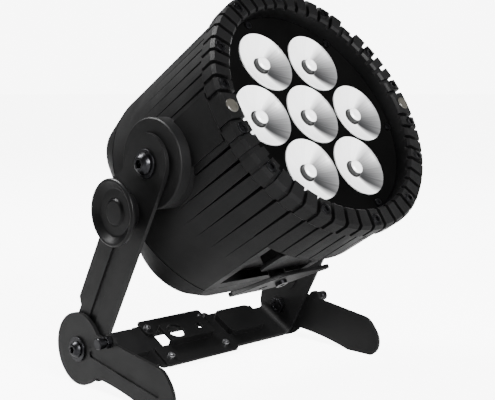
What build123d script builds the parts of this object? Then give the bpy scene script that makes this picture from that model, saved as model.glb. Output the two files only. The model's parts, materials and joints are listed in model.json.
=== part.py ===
from build123d import *
import os
from math import cos, radians, sin

os.makedirs("parts", exist_ok=True)

# ---------------------------------------------------------------- driving dimensions, mm
pivot_y = 2.4               # tilt axis along the front to back direction
tilt_deg = 31.4             # light axis above the horizontal
lean_deg = 29.0             # yoke arms leaning forwards from the vertical

running_gap = 0.05          # radial gap of a shaft that turns in a hole
fixing_gap = 0.1            # radial gap round a fixed screw
body_gap = 0.3              # gap between pieces that move against each other
foot_gap = 0.4

body_radius = 81.3          # outside of the cast housing
rear_wall = 7.3             # wall thickness round the rear and the front chamber
front_wall = 9.5
housing_rear = -46.5        # stations along the light axis, from the tilt axis
housing_front = 53.7
shelf_rear = 20.0
shelf_front = 24.0
shelf_width = 7.8
rear_bore = body_radius - rear_wall
front_bore = body_radius - front_wall
shelf_bore = front_bore - shelf_width

groove_depth = 4.1
groove_half = 1.35          # half width of a groove at groove_reach above its bottom
groove_reach = 5.5
groove_end = -12.0
groove_floor = body_radius - groove_depth

bezel_depth = 11.8          # front ring along the light axis
slot_depth = 3.5            # slots between its teeth
tooth_proud = 1.7
tooth_depth = 2.0
ring_width = 13.0
slot_width = 2.7
window_radius = 4.3
bezel_rear = housing_front + body_gap
bezel_front = bezel_rear + bezel_depth
slot_floor = bezel_front - slot_depth
tooth_radius = body_radius + tooth_proud
tooth_valley = tooth_radius - tooth_depth
bezel_bore = tooth_radius - ring_width
screw_circle = groove_floor
window_circle = groove_floor

lens_radius = 20.0
lens_bridge = 2.5           # metal left between two lenses
lens_proud = 0.8
lens_clear = 0.15
lens_spacing = 2 * lens_radius + lens_bridge
lens_face = housing_front + lens_proud

boss_radius = 27.0
boss_rise = 8.1
friction_space = 1.0        # room for the friction washer
arm_thick = 2.5
arm_half = 18.0
bend_inner = 5.5
boss_face = body_radius + boss_rise
arm_inner = boss_face + friction_space
web_inner = 152.0           # inner face of the cross bar, from the tilt axis along the arms
foot_rise = 12.5            # foot pivot above the inner face of the cross bar
foot_reach = web_inner - foot_rise
knob_reach = 33.0           # tilt lock knob, from the tilt axis along the arms

pivot_pin = 4.0             # radii of the shafts
foot_pin = 3.0
plunger_pin = 2.0

foot_thick = 2.5
foot_disc = 23.5
ear_y = -33.0               # ear of the foot that carries the plunger, from the foot pivot
ear_z = 10.6

flat_depth = 13.3           # flat cut along the underside, from the rear to flat_front
flat_front = 18.5
pocket_half = 37.5          # pocket in that flat
pocket_depth = 6.0
pocket_rear = -38.0
pocket_front = 14.0
pocket_wall = 2.0
anchor_station = -24.6
anchor_drop = 5.8
anchor_turn = 17.0
flat_radius = body_radius - flat_depth
pocket_floor = flat_radius - pocket_depth
anchor_top = body_radius - anchor_drop

cover_depth = 19.5          # rear cap
panel_half_x = 66.0         # rear face of the cap
panel_half_y = 63.0
panel_corner = 31.0
cover_wall = 3.0
socket_drop = -30.0
socket_pitch = 37.0
socket_radius = 10.0
socket_flange = 13.0
button_pitch = 19.0
button_radius = 4.5
button_row = -3.0
display_row = 27.0
cover_rear = housing_rear - cover_depth
panel_inner = cover_rear + cover_wall

# ---------------------------------------------------------------- frames
tilt = radians(tilt_deg)
lean = radians(lean_deg)
pivot_height = foot_reach * cos(lean) + foot_disc
pivot = Vector(0, pivot_y, pivot_height)
light_dir = Vector(0, -cos(tilt), sin(tilt))
head_up = Vector(0, sin(tilt), cos(tilt))
arm_dir = Vector(0, sin(lean), -cos(lean))
arm_rear = Vector(0, cos(lean), sin(lean))
foot_point = pivot + arm_dir * foot_reach
knob_point = pivot + arm_dir * knob_reach
light_axis = Axis(pivot, light_dir)

head = Plane(origin=pivot, x_dir=(1, 0, 0), z_dir=light_dir)
head_section = Plane(origin=pivot, x_dir=(1, 0, 0), z_dir=head_up * -1)
web = Plane(origin=pivot, x_dir=(1, 0, 0), z_dir=arm_dir)
yoke_section = Plane(origin=pivot, x_dir=(1, 0, 0), z_dir=arm_rear)


def side_plane(x, point, x_dir):
    """Plane across the tilt axis, with its own x along x_dir."""
    return Plane(origin=(x, point.Y, point.Z), x_dir=x_dir, z_dir=(1, 0, 0))


def disc(plane, radius, length):
    """Cylinder added to the open part."""
    with BuildSketch(plane) as outline:
        Circle(radius)
    extrude(outline.sketch, amount=length)


def hole(plane, radius, length):
    """Cylinder cut from the open part."""
    with BuildSketch(plane) as outline:
        Circle(radius)
    extrude(outline.sketch, amount=length, mode=Mode.SUBTRACT)


def polar(radius, angle_deg):
    """Point on a circle."""
    return (radius * cos(radians(angle_deg)), radius * sin(radians(angle_deg)))


def turned(points, side, point):
    """Solid of revolution about an axis along x; points are (outward x, radius)."""
    plane = Plane(origin=(0, point.Y, point.Z), x_dir=(side, 0, 0), z_dir=(0, 0, 1))
    with BuildSketch(plane) as outline:
        with BuildLine():
            Polyline(*points, close=True)
        make_face()
    revolve(outline.sketch, axis=Axis(point, (1, 0, 0)))


def keep(built, name):
    """Name a finished piece and write its file."""
    built.part.label = name
    export_step(built.part, "parts/" + name + ".step")


sides = ((-1, "left"), (1, "right"))
arm_outer = arm_inner + arm_thick
web_outer = web_inner + arm_thick

# ---------------------------------------------------------------- yoke
rib_half = 12.0             # raised rib of the cross bar
rib_rise = 4.5
rib_shift = -3.5            # towards the rear edge
rib_from = 37.0
rib_to = 73.0
flute_half = 4.7            # pressed flute of the arms
flute_depth = 1.0
flute_from = 58.0
flute_to = 122.0
plate_front = 6.5           # raised part of the clamp plate, from the arms' middle line
plate_back = 11.0
clamp_hole_y = (plate_back - plate_front) / 2
clamp_hole_radius = 6.6
window_half_x = 23.0        # opening of the cross bar under the clamp plate
window_half_y = clamp_hole_radius + 1.0
pad_half_x = 36.0
pad_half_y = 20.5
clamp_screw_x = 25.5        # four screws of the clamp plate
clamp_screw_y = 15.2
clamp_screw_radius = 1.5
notch_from = 111.0
notch_depth = 4.0

with BuildPart() as yoke_bracket:
    with BuildSketch(yoke_section):
        with Locations((0, web_outer / 2)):
            Rectangle(2 * arm_outer, web_outer)
        with Locations((0, -arm_half / 2)):
            Rectangle(2 * arm_outer, arm_half)
        low = [v for v in vertices() if v.Y > web_inner / 2]
        fillet(low, bend_inner + arm_thick)
        with BuildLine():
            inner = Polyline(
                (-arm_inner, -arm_half - 1), (-arm_inner, web_inner), (arm_inner, web_inner),
                (arm_inner, -arm_half - 1), close=True,
            )
            low_inner = [v for v in inner.vertices() if v.Y > web_inner / 2]
            fillet(low_inner, bend_inner)
        make_face(mode=Mode.SUBTRACT)
    extrude(amount=arm_half, both=True)
    # rounded tops of the arms and the step in their rear edge
    with BuildSketch(side_plane(-arm_outer - 1, pivot, arm_dir)):
        Circle(arm_half)
        with Locations(((web_outer + 1) / 2, 0)):
            Rectangle(web_outer + 1, 2 * arm_half)
    extrude(amount=2 * arm_outer + 2, mode=Mode.INTERSECT)
    for side, name in sides:
        with BuildSketch(side_plane(side * (arm_outer + 1), pivot, arm_dir)):
            with BuildLine():
                Polyline(
                    (notch_from, arm_half + 1), (notch_from, arm_half),
                    (notch_from + notch_depth, arm_half - notch_depth),
                    (web_outer + 1, arm_half - notch_depth), (web_outer + 1, arm_half + 1),
                    close=True,
                )
            make_face()
        extrude(amount=-side * (bend_inner + arm_thick + 6), mode=Mode.SUBTRACT)
    # pad that carries the clamp plate
    with BuildSketch(web.offset(web_inner)):
        RectangleRounded(2 * pad_half_x, 2 * pad_half_y, 3)
    extrude(amount=arm_thick)
    # ribs of the cross bar
    for side, name in sides:
        mid = side * (rib_from + rib_to) / 2
        with BuildSketch(web.offset(web_inner - rib_rise)):
            with Locations((mid, rib_shift)):
                RectangleRounded(rib_to - rib_from, 2 * rib_half, 5)
        extrude(amount=rib_rise)
        with BuildSketch(web.offset(web_outer)):
            with Locations((mid, rib_shift)):
                RectangleRounded(rib_to - rib_from - 2 * arm_thick, 2 * rib_half - 2 * arm_thick, 3)
        extrude(amount=-rib_rise, mode=Mode.SUBTRACT)
    # opening under the clamp plate
    with BuildSketch(web.offset(web_inner - 1)):
        with Locations((0, -clamp_hole_y)):
            RectangleRounded(2 * window_half_x, 2 * window_half_y, 2)
        with GridLocations(2 * clamp_screw_x, 2 * clamp_screw_y, 2, 2):
            Circle(clamp_screw_radius + fixing_gap)
    extrude(amount=arm_thick + 2, mode=Mode.SUBTRACT)
    # flutes of the arms
    for side, name in sides:
        mid = (flute_from + flute_to) / 2
        length = flute_to - flute_from
        with BuildSketch(side_plane(side * arm_inner, pivot, arm_dir)):
            with Locations((mid, 0)):
                SlotOverall(length, 2 * flute_half)
        extrude(amount=-side * flute_depth)
        with BuildSketch(side_plane(side * arm_outer, pivot, arm_dir)):
            with Locations((mid, 0)):
                SlotOverall(length - 2, 2 * flute_half - 2)
        extrude(amount=-side * flute_depth, mode=Mode.SUBTRACT)
        # holes for the tilt pivot, the lock stud and the foot pivot
        out = side * (arm_outer + 1)
        depth = -side * (arm_thick + 2)
        hole(side_plane(out, pivot, arm_dir), pivot_pin + running_gap, depth)
        hole(side_plane(out, knob_point, arm_dir), pivot_pin + running_gap, depth)
        hole(side_plane(out, foot_point, arm_dir), foot_pin + fixing_gap, depth)
keep(yoke_bracket, "yoke_bracket")

# ---------------------------------------------------------------- clamp plate on the cross bar
plate_thick = 2.0
plate_rise = 7.5            # top of the raised part above the cross bar
plate_half_x = 20.4
flange_edge = 23.0
rear_flange_half = 29.0
front_flange_half = 33.0
clamp_hole_x = -10.6
cable_hole_x = 11.3
cable_hole_radius = 2.75
plate_mid = -clamp_hole_y
plate_depth = plate_front + plate_back

with BuildPart() as clamp_plate:
    with BuildSketch(web.offset(web_inner - plate_rise)):
        with Locations((0, plate_mid)):
            RectangleRounded(2 * plate_half_x, plate_depth, 2)
    extrude(amount=plate_rise)
    for front, half, near in ((1, front_flange_half, plate_front), (-1, rear_flange_half, plate_back)):
        with BuildSketch(web.offset(web_inner - plate_thick)):
            with Locations((0, front * (flange_edge + near - plate_thick) / 2)):
                RectangleRounded(2 * half, flange_edge - near + plate_thick, 2)
        extrude(amount=plate_thick)
    # the raised part is a bent sheet, open below and at both ends
    with BuildSketch(web.offset(web_inner - plate_rise + plate_thick)):
        with Locations((0, plate_mid)):
            Rectangle(2 * plate_half_x + 2, plate_depth - 2 * plate_thick)
    extrude(amount=plate_rise, mode=Mode.SUBTRACT)
    with BuildSketch(web.offset(web_inner - plate_rise - 1)):
        with Locations((clamp_hole_x, -clamp_hole_y)):
            Circle(clamp_hole_radius)
        with Locations((cable_hole_x, -clamp_hole_y)):
            Circle(cable_hole_radius)
    extrude(amount=plate_thick + 2, mode=Mode.SUBTRACT)
    with BuildSketch(web.offset(web_inner - plate_thick - 1)):
        with GridLocations(2 * clamp_screw_x, 2 * clamp_screw_y, 2, 2):
            Circle(clamp_screw_radius + fixing_gap)
    extrude(amount=plate_thick + 2, mode=Mode.SUBTRACT)

keep(clamp_plate, "clamp_plate")

with BuildPart() as clamp_screws:
    for x in (-clamp_screw_x, clamp_screw_x):
        for y in (-clamp_screw_y, clamp_screw_y):
            with BuildSketch(web.offset(web_inner - plate_thick)):
                with Locations((x, y)):
                    Circle(clamp_screw_radius)
            extrude(amount=plate_thick + arm_thick)
            with BuildSketch(web.offset(web_inner - plate_thick)):
                with Locations((x, y)):
                    Circle(2.5)
            extrude(amount=-1.6)
            with BuildSketch(web.offset(web_inner - plate_thick - 1.6)):
                with Locations((x, y)):
                    RegularPolygon(1.1, 6)
            extrude(amount=1.0, mode=Mode.SUBTRACT)
keep(clamp_screws, "clamp_plate_screws")

# ---------------------------------------------------------------- feet
foot_inner = arm_outer + foot_gap
foot_outer = foot_inner + foot_thick
foot_washer = 1.2
foot_head = 3.6
foot_head_radius = 5.3
flute_x = -46.5
flute_z = -6.7
flute_length = 70.0
flute_turn = 10.0

for side, name in sides:
    with BuildPart() as foot:
        with BuildSketch(side_plane(side * foot_inner, foot_point, (0, 1, 0))):
            with BuildLine():
                Line((-20.0, 12.4), (-80.0, 3.6))
                Spline((-80.0, 3.6), (-89.0, -2.4), (-93.6, -12.0), (-91.6, -19.6), (-87.0, -foot_disc),
                       tangents=((-1, -0.15), (0.8, -0.6)))
                Line((-87.0, -foot_disc), (-66.0, -foot_disc))
                ThreePointArc((-66.0, -foot_disc), (-43.5, -18.2), (-22.0, -15.4))
                ThreePointArc((-22.0, -15.4), (-14.0, -16.6), (-8.5, -21.5))
                Line((-8.5, -21.5), (0, 0))
                Line((0, 0), (-20.0, 12.4))
            make_face()
            Circle(foot_disc)
            with Locations((ear_y, ear_z - 0.6)):
                Circle(5.2)
        extrude(amount=side * foot_thick)
        with BuildSketch(side_plane(side * foot_outer, foot_point, (0, 1, 0))):
            with Locations(Location((flute_x, flute_z), flute_turn)):
                SlotOverall(flute_length, 4.6)
        extrude(amount=-side * 0.9, mode=Mode.SUBTRACT)
        hole(side_plane(side * (foot_inner - 1), foot_point, (0, 1, 0)),
             foot_pin + running_gap, side * (foot_thick + 2))
        with BuildSketch(side_plane(side * (foot_inner - 1), foot_point, (0, 1, 0))):
            with Locations((ear_y, ear_z)):
                Circle(plunger_pin + running_gap)
        extrude(amount=side * (foot_thick + 2), mode=Mode.SUBTRACT)
    keep(foot, "foot_" + name)

    ear = foot_point + Vector(0, ear_y, ear_z)
    with BuildPart() as sleeve:
        with BuildSketch(side_plane(side * foot_outer, ear, (0, 1, 0))):
            RegularPolygon(4.0, 6)
            Circle(plunger_pin + running_gap, mode=Mode.SUBTRACT)
        extrude(amount=side * 3.4)
    keep(sleeve, "plunger_sleeve_" + name)

    cap_from = foot_outer + 3.4 + body_gap
    with BuildPart() as plunger:
        turned(((foot_inner + 0.2, 0), (foot_inner + 0.2, plunger_pin), (cap_from, plunger_pin),
                (cap_from, 3.0), (cap_from + 0.6, 3.5), (cap_from + 4.8, 3.5),
                (cap_from + 5.4, 2.9), (cap_from + 5.4, 0)), side, ear)
        with BuildSketch(side_plane(side * (cap_from + 0.9), ear, (0, 1, 0))):
            with PolarLocations(3.6, 12):
                Rectangle(0.6, 0.7)
        extrude(amount=side * 3.4, mode=Mode.SUBTRACT)
    keep(plunger, "foot_plunger_" + name)

washer_from = foot_outer + body_gap
head_from = washer_from + foot_washer

with BuildPart() as foot_washers:
    for side, name in sides:
        turned(((washer_from, foot_pin + running_gap), (washer_from, 8.0),
                (head_from, 8.0), (head_from, foot_pin + running_gap)), side, foot_point)
keep(foot_washers, "foot_washers")

with BuildPart() as foot_bolts:
    for side, name in sides:
        turned(((arm_inner - 3.5, 0), (arm_inner - 3.5, foot_pin), (head_from, foot_pin),
                (head_from, foot_head_radius), (head_from + 0.7, foot_head_radius),
                (head_from + foot_head * 0.6, foot_head_radius - 0.8),
                (head_from + foot_head * 0.9, foot_head_radius - 1.8),
                (head_from + foot_head, foot_head_radius - 2.4), (head_from + foot_head, 0)), side, foot_point)
        with BuildSketch(side_plane(side * (head_from + foot_head), foot_point, (0, 1, 0))):
            RegularPolygon(2.3, 6)
        extrude(amount=-side * 2.2, mode=Mode.SUBTRACT)
keep(foot_bolts, "foot_bolts")

with BuildPart() as foot_nuts:
    for side, name in sides:
        with BuildSketch(side_plane(side * (arm_inner - 4.0), foot_point, (0, 1, 0))):
            RegularPolygon(6.2, 6)
            Circle(foot_pin + fixing_gap, mode=Mode.SUBTRACT)
        extrude(amount=side * 4.0)
keep(foot_nuts, "foot_nuts")

# ---------------------------------------------------------------- tilt pivots and lock knobs
washer_thick = 0.7
outer_washer = 1.2
bolt_head = 4.4
bolt_head_radius = 6.6
knob_radius = 20.4
knob_hub = 11.0
bush_length = 4.0
bush_radius = pivot_pin + 1.4

out = arm_outer + body_gap
seat = out + outer_washer
knob_back = arm_outer + 1.4

with BuildPart() as friction_washers:
    for side, name in sides:
        turned(((boss_face, pivot_pin + fixing_gap), (boss_face, 14.0),
                (boss_face + washer_thick, 14.0), (boss_face + washer_thick, pivot_pin + fixing_gap)),
               side, pivot)
keep(friction_washers, "friction_washers")

with BuildPart() as pivot_washers:
    for side, name in sides:
        turned(((out, pivot_pin + fixing_gap), (out, 8.7), (seat, 8.7),
                (seat, pivot_pin + fixing_gap)), side, pivot)
keep(pivot_washers, "pivot_washers")

with BuildPart() as lock_bushes:
    for side, name in sides:
        turned(((arm_inner - bush_length, pivot_pin + running_gap), (arm_inner - bush_length, bush_radius - 0.4),
                (arm_inner - bush_length + 0.4, bush_radius), (arm_inner, bush_radius),
                (arm_inner, pivot_pin + running_gap)), side, knob_point)
keep(lock_bushes, "lock_bushes")

for side, name in sides:
    with BuildPart() as pivot_bolt:
        turned(((boss_face - 10.0, 0), (boss_face - 10.0, pivot_pin), (seat, pivot_pin),
                (seat, bolt_head_radius), (seat + 0.8, bolt_head_radius),
                (seat + bolt_head * 0.6, bolt_head_radius - 1.0), (seat + bolt_head * 0.9, bolt_head_radius - 2.3),
                (seat + bolt_head, bolt_head_radius - 3.2), (seat + bolt_head, 0)), side, pivot)
        with BuildSketch(side_plane(side * (seat + bolt_head), pivot, (0, 1, 0))):
            RegularPolygon(2.9, 6)
        extrude(amount=-side * 2.8, mode=Mode.SUBTRACT)
    keep(pivot_bolt, "pivot_bolt_" + name)

    with BuildPart() as knob:
        turned(((knob_back, pivot_pin + running_gap), (knob_back, knob_hub), (knob_back + 6.4, knob_hub + 1.0),
                (knob_back + 9.4, knob_radius - 1.4), (knob_back + 10.2, knob_radius),
                (knob_back + 11.8, knob_radius), (knob_back + 12.6, knob_radius - 0.9),
                (knob_back + 12.6, knob_radius - 1.9), (knob_back + 9.8, knob_radius - 5.4),
                (knob_back + 9.2, knob_radius - 6.6), (knob_back + 9.2, 8.4), (knob_back + 10.4, 7.4),
                (knob_back + 10.6, 6.4), (knob_back + 10.6, 0), (knob_back + 7.4, 0),
                (knob_back + 7.4, pivot_pin + running_gap)), side, knob_point)
    keep(knob, "lock_knob_" + name)

    with BuildPart() as stud:
        turned(((arm_inner - 6.5, 0), (arm_inner - 6.5, 3.2), (arm_inner - 5.7, pivot_pin),
                (knob_back + 7.0, pivot_pin), (knob_back + 7.0, 0)), side, knob_point)
    keep(stud, "lock_stud_" + name)

# ---------------------------------------------------------------- bezel ring
quarter_slots = (6.7, 13.75, 20.25, 26.75, 33.75, 41.25, 48.75, 56.25, 63.75, 71.25, 78.75, 86.25)
slot_angles = []
for a in quarter_slots:
    slot_angles.extend((a, 180 - a, 180 + a, 360 - a))
screw_angles = [10.5, 30, 60, 90, 120, 150, 169.5, 190.5, 210, 240, 270, 300, 330, 349.5]
bezel_screw_radius = 2.0
bezel_head_radius = 3.4
bezel_head_seat = bezel_front - 1.6
gap_angle = 45.0            # place of the missing tooth

with BuildPart() as bezel_ring:
    with BuildSketch(head_section):
        with BuildLine():
            Polyline(
                (bezel_bore, bezel_rear), (tooth_radius - 0.8, bezel_rear), (tooth_radius, bezel_rear + 1.0),
                (tooth_radius, bezel_front - 2.2), (tooth_radius - 1.6, bezel_front),
                (bezel_bore + 1.4, bezel_front), (bezel_bore, bezel_front - 1.4), close=True,
            )
        make_face()
    revolve(axis=light_axis)
    with BuildSketch(head.offset(slot_floor)):
        for a in slot_angles:
            with Locations(Location((*polar((bezel_bore + tooth_radius) / 2, a), 0), a)):
                Rectangle(tooth_radius - bezel_bore + 4, slot_width)
        with Locations(Location((*polar(tooth_radius - 4, gap_angle), 0), gap_angle)):
            Rectangle(14, 9.6)
    extrude(amount=bezel_front - slot_floor + 1, mode=Mode.SUBTRACT)
    with BuildSketch(head.offset(bezel_rear - 1)):
        for a in slot_angles:
            with Locations(Location((*polar(tooth_valley + 2.5, a), 0), a)):
                Rectangle(5, slot_width)
    extrude(amount=bezel_front - bezel_rear + 2, mode=Mode.SUBTRACT)
    # two small ridges in the place of the missing tooth
    with BuildSketch(head.offset(slot_floor)):
        for shift in (-1.6, 1.6):
            with Locations(Location((*polar(tooth_radius - 5.5, gap_angle + shift), 0), gap_angle)):
                Rectangle(6.5, 1.1)
    extrude(amount=1.6)
    with BuildSketch(head.offset(bezel_head_seat)):
        for a in screw_angles:
            with Locations(polar(screw_circle, a)):
                Circle(bezel_head_radius + 0.25)
    extrude(amount=3, mode=Mode.SUBTRACT)
    with BuildSketch(head.offset(bezel_rear - 1)):
        for a in screw_angles:
            with Locations(polar(screw_circle, a)):
                Circle(bezel_screw_radius + fixing_gap)
    extrude(amount=bezel_front - bezel_rear + 2, mode=Mode.SUBTRACT)
    with BuildSketch(head.offset(bezel_front - 2.4)):
        for a in (0, 180):
            with Locations(polar(window_circle, a)):
                Circle(window_radius)
    extrude(amount=4, mode=Mode.SUBTRACT)
keep(bezel_ring, "bezel_ring")

with BuildPart() as bezel_screws:
    with BuildSketch(head.offset(bezel_rear - 8)):
        for a in screw_angles:
            with Locations(polar(screw_circle, a)):
                Circle(bezel_screw_radius)
    extrude(amount=bezel_head_seat - bezel_rear + 8.2)
    with BuildSketch(head.offset(bezel_head_seat)):
        for a in screw_angles:
            with Locations(polar(screw_circle, a)):
                Circle(bezel_head_radius)
    extrude(amount=1.9)
    with BuildSketch(head.offset(bezel_head_seat + 0.6)):
        for a in screw_angles:
            with Locations(polar(screw_circle, a)):
                RegularPolygon(1.7, 6)
    extrude(amount=2, mode=Mode.SUBTRACT)
keep(bezel_screws, "bezel_screws")

for angle, name in ((180, "left"), (0, "right")):
    with BuildPart() as sensor_window:
        with BuildSketch(head.offset(bezel_front - 2.4)):
            with Locations(polar(window_circle, angle)):
                Circle(window_radius)
        extrude(amount=2.9)
        top = sensor_window.faces().sort_by(Axis(pivot, light_dir))[-1]
        fillet(top.edges(), 0.9)
    keep(sensor_window, "sensor_window_" + name)

# ---------------------------------------------------------------- lens plate, lenses and light engine
lens_places = [(0.0, 0.0)]
for step in range(6):
    lens_places.append(polar(lens_spacing, 60 * step))
plate_rear = housing_front - 2.4
plate_radius = front_bore - 0.2
plate_screw_places = [polar(front_bore - 4.8, 50.5 + 60 * step) for step in range(6)]

with BuildPart() as lens_plate:
    disc(head.offset(plate_rear), plate_radius, housing_front - plate_rear)
    with BuildSketch(head.offset(plate_rear - 1)):
        with Locations(*lens_places):
            Circle(lens_radius + lens_clear)
        with Locations(*plate_screw_places):
            Circle(1.6)
    extrude(amount=6, mode=Mode.SUBTRACT)
keep(lens_plate, "lens_plate")

with BuildPart() as plate_screws:
    for place in plate_screw_places:
        with BuildSketch(head.offset(plate_rear - 4)):
            with Locations(place):
                Circle(1.5)
        extrude(amount=housing_front - plate_rear + 4)
        with BuildSketch(head.offset(housing_front)):
            with Locations(place):
                Circle(2.6)
        extrude(amount=1.3)
        with BuildSketch(head.offset(housing_front + 0.5)):
            with Locations(place):
                RegularPolygon(1.2, 6)
        extrude(amount=1.2, mode=Mode.SUBTRACT)
keep(plate_screws, "lens_plate_screws")

board_rear = shelf_front + 6.0
board_front = board_rear + 1.6
lens_seat = board_front + 2.9
post_radius = 5.1
dish_depth = 5.4
rim_depth = 3.4
seat_radius = 8.4
for number, (u, w) in enumerate(lens_places):
    with BuildPart() as lens:
        centre = pivot + Vector(1, 0, 0) * u + head_up * w
        with BuildSketch(Plane(origin=centre, x_dir=(1, 0, 0), z_dir=head_up * -1)):
            with BuildLine():
                Polyline((0, lens_face - 0.4), (post_radius - 2.7, lens_face - 0.5),
                         (post_radius - 0.9, lens_face - 1.2), (post_radius - 0.2, lens_face - 2.2),
                         (post_radius, lens_face - dish_depth + 0.4), (post_radius + 0.8, lens_face - dish_depth))
                ThreePointArc((post_radius + 0.8, lens_face - dish_depth),
                              (lens_radius - 7.5, lens_face - 3.7), (lens_radius - 1.2, lens_face - 0.5))
                Polyline((lens_radius - 1.2, lens_face - 0.5), (lens_radius - 0.8, lens_face),
                         (lens_radius, lens_face), (lens_radius, lens_face - rim_depth),
                         (lens_radius - 1.4, lens_face - rim_depth))
                ThreePointArc((lens_radius - 1.4, lens_face - rim_depth),
                              (lens_radius - 5.6, lens_face - 12.6), (seat_radius, lens_seat))
                Polyline((seat_radius, lens_seat), (0, lens_seat), (0, lens_face - 0.4))
            make_face()
        revolve(axis=Axis(centre, light_dir))
    keep(lens, "lens_" + str(number + 1))

with BuildPart() as heat_spreader:
    disc(head.offset(shelf_front), front_bore - 0.3, board_rear - shelf_front)
keep(heat_spreader, "heat_spreader")

with BuildPart() as led_board:
    disc(head.offset(board_rear), front_bore - 3.8, board_front - board_rear)
keep(led_board, "led_board")

with BuildPart() as leds:
    with BuildSketch(head.offset(board_front)):
        with Locations(*lens_places):
            Rectangle(7, 7)
    extrude(amount=0.9)
    with BuildSketch(head.offset(board_front + 0.9)):
        with Locations(*lens_places):
            Circle(2.8)
    extrude(amount=1.2)
keep(leds, "leds")

with BuildPart() as lens_holders:
    with BuildSketch(head.offset(board_front)):
        with Locations(*lens_places):
            Circle(seat_radius + 3.2)
        with Locations(*lens_places):
            Circle(seat_radius + 1.4, mode=Mode.SUBTRACT)
    extrude(amount=lens_seat - board_front + 1.0)
    with BuildSketch(head.offset(board_front)):
        with Locations(*plate_screw_places):
            Circle(3.6)
    extrude(amount=plate_rear - board_front)
    with BuildSketch(head.offset(board_front + 4)):
        with Locations(*plate_screw_places):
            Circle(1.6)
    extrude(amount=plate_rear - board_front, mode=Mode.SUBTRACT)
keep(lens_holders, "lens_holders")

# ---------------------------------------------------------------- housing
gasket_inner = front_bore + 0.8
gasket_outer = front_bore + 2.2
gasket_thick = 1.6
land_half = 15.0
land_reach = body_radius + 0.3
boss_seat = land_reach + 0.4

with BuildPart() as housing:
    with BuildSketch(head_section):
        with BuildLine():
            Polyline(
                (rear_bore, housing_rear), (body_radius - 0.5, housing_rear),
                (body_radius, housing_rear + 0.5), (body_radius, housing_front),
                (front_bore, housing_front), (front_bore, shelf_front), (shelf_bore, shelf_front),
                (shelf_bore, shelf_rear), (rear_bore, shelf_rear), close=True,
            )
        make_face()
    revolve(axis=light_axis)
    # grooves that run out towards the rear
    run = housing_front - groove_end
    for a in slot_angles:
        if abs(sin(radians(a))) > sin(radians(11)):
            u, w = polar(groove_floor, a)
            start = head.offset(housing_front + 1).from_local_coords((u, w, 0))
            u, w = polar(body_radius + 0.1, a)
            finish = head.offset(groove_end).from_local_coords((u, w, 0))
            u, w = polar(1, a + 90)
            across = Vector(1, 0, 0) * u + head_up * w
            with BuildSketch(Plane(origin=start, x_dir=across, z_dir=(finish - start))):
                with BuildLine():
                    Polyline((0, 0), (groove_half, groove_reach), (-groove_half, groove_reach), close=True)
                make_face()
            extrude(amount=run + 6, mode=Mode.SUBTRACT)
    # flat lands and pivot bosses on both sides
    for side, name in sides:
        with BuildSketch(head.offset(housing_rear + 0.5)):
            with Locations((side * (land_reach - 2.5), 0)):
                Rectangle(5, 2 * land_half)
        extrude(amount=housing_front - housing_rear - 0.5)
        disc(side_plane(side * (rear_bore + 3), pivot, (0, 1, 0)), boss_radius,
             side * (boss_seat - rear_bore - 3))
        hole(side_plane(side * (boss_face + 1), pivot, (0, 1, 0)), pivot_pin + fixing_gap,
             -side * 12.0)
    # flat underside, closed inwards by a block, and the pocket in it
    deep = pocket_floor - pocket_wall
    with BuildSketch(head.offset(housing_rear)):
        with Locations((0, -(deep + body_radius) / 2)):
            Rectangle(2 * body_radius, body_radius - deep)
        Circle(body_radius - 0.4, mode=Mode.INTERSECT)
    extrude(amount=flat_front + pocket_wall - housing_rear)
    with BuildSketch(head.offset(housing_rear - 1)):
        with Locations((0, -(flat_radius + body_radius + 3) / 2)):
            Rectangle(2 * body_radius, body_radius + 3 - flat_radius)
    extrude(amount=flat_front + 1 - housing_rear, mode=Mode.SUBTRACT)
    with BuildSketch(head.offset(pocket_rear)):
        with Locations((0, -(pocket_floor + flat_radius + 3) / 2)):
            Rectangle(2 * pocket_half, flat_radius + 3 - pocket_floor)
    extrude(amount=pocket_front - pocket_rear, mode=Mode.SUBTRACT)
    # post for the anchor bar
    with BuildSketch(Plane(origin=head.offset(anchor_station).from_local_coords((0, -pocket_floor, 0)),
                           x_dir=(1, 0, 0), z_dir=head_up * -1)):
        Circle(5.5)
    extrude(amount=anchor_top - pocket_floor)
    with BuildSketch(Plane(origin=head.offset(anchor_station).from_local_coords((0, -anchor_top, 0)),
                           x_dir=(1, 0, 0), z_dir=head_up)):
        Circle(2.1)
    extrude(amount=6.5, mode=Mode.SUBTRACT)
    # groove for the front seal and holes for the bezel screws
    with BuildSketch(head.offset(housing_front)):
        Circle(gasket_outer + 0.1)
        Circle(gasket_inner - 0.1, mode=Mode.SUBTRACT)
    extrude(amount=-(gasket_thick - 0.3), mode=Mode.SUBTRACT)
    with BuildSketch(head.offset(bezel_rear - 10)):
        for a in screw_angles:
            with Locations(polar(screw_circle, a)):
                Circle(bezel_screw_radius + fixing_gap)
    extrude(amount=12, mode=Mode.SUBTRACT)
keep(housing, "housing")

for side, name in sides:
    with BuildPart() as side_boss:
        disc(side_plane(side * boss_seat, pivot, (0, 1, 0)), boss_radius, side * (boss_face - boss_seat))
        outer_face = side_boss.faces().sort_by(Axis.X)[-1 if side > 0 else 0]
        chamfer(outer_face.edges(), 0.8)
        hole(side_plane(side * (boss_face + 1), pivot, (0, 1, 0)), pivot_pin + fixing_gap,
             -side * (boss_face - boss_seat + 2))
    keep(side_boss, "side_boss_" + name)

with BuildPart() as front_seal:
    with BuildSketch(head.offset(bezel_rear - gasket_thick)):
        Circle(gasket_outer)
        Circle(gasket_inner, mode=Mode.SUBTRACT)
    extrude(amount=gasket_thick)
keep(front_seal, "front_seal")

# ---------------------------------------------------------------- underside fittings
under = Plane(origin=pivot - head_up * flat_radius, x_dir=(1, 0, 0), z_dir=head_up * -1)
cover_thick = 2.5
cover_lift = 2.0
cover_half_x = 27.0
cover_from = -14.0
cover_to = 12.0

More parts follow.
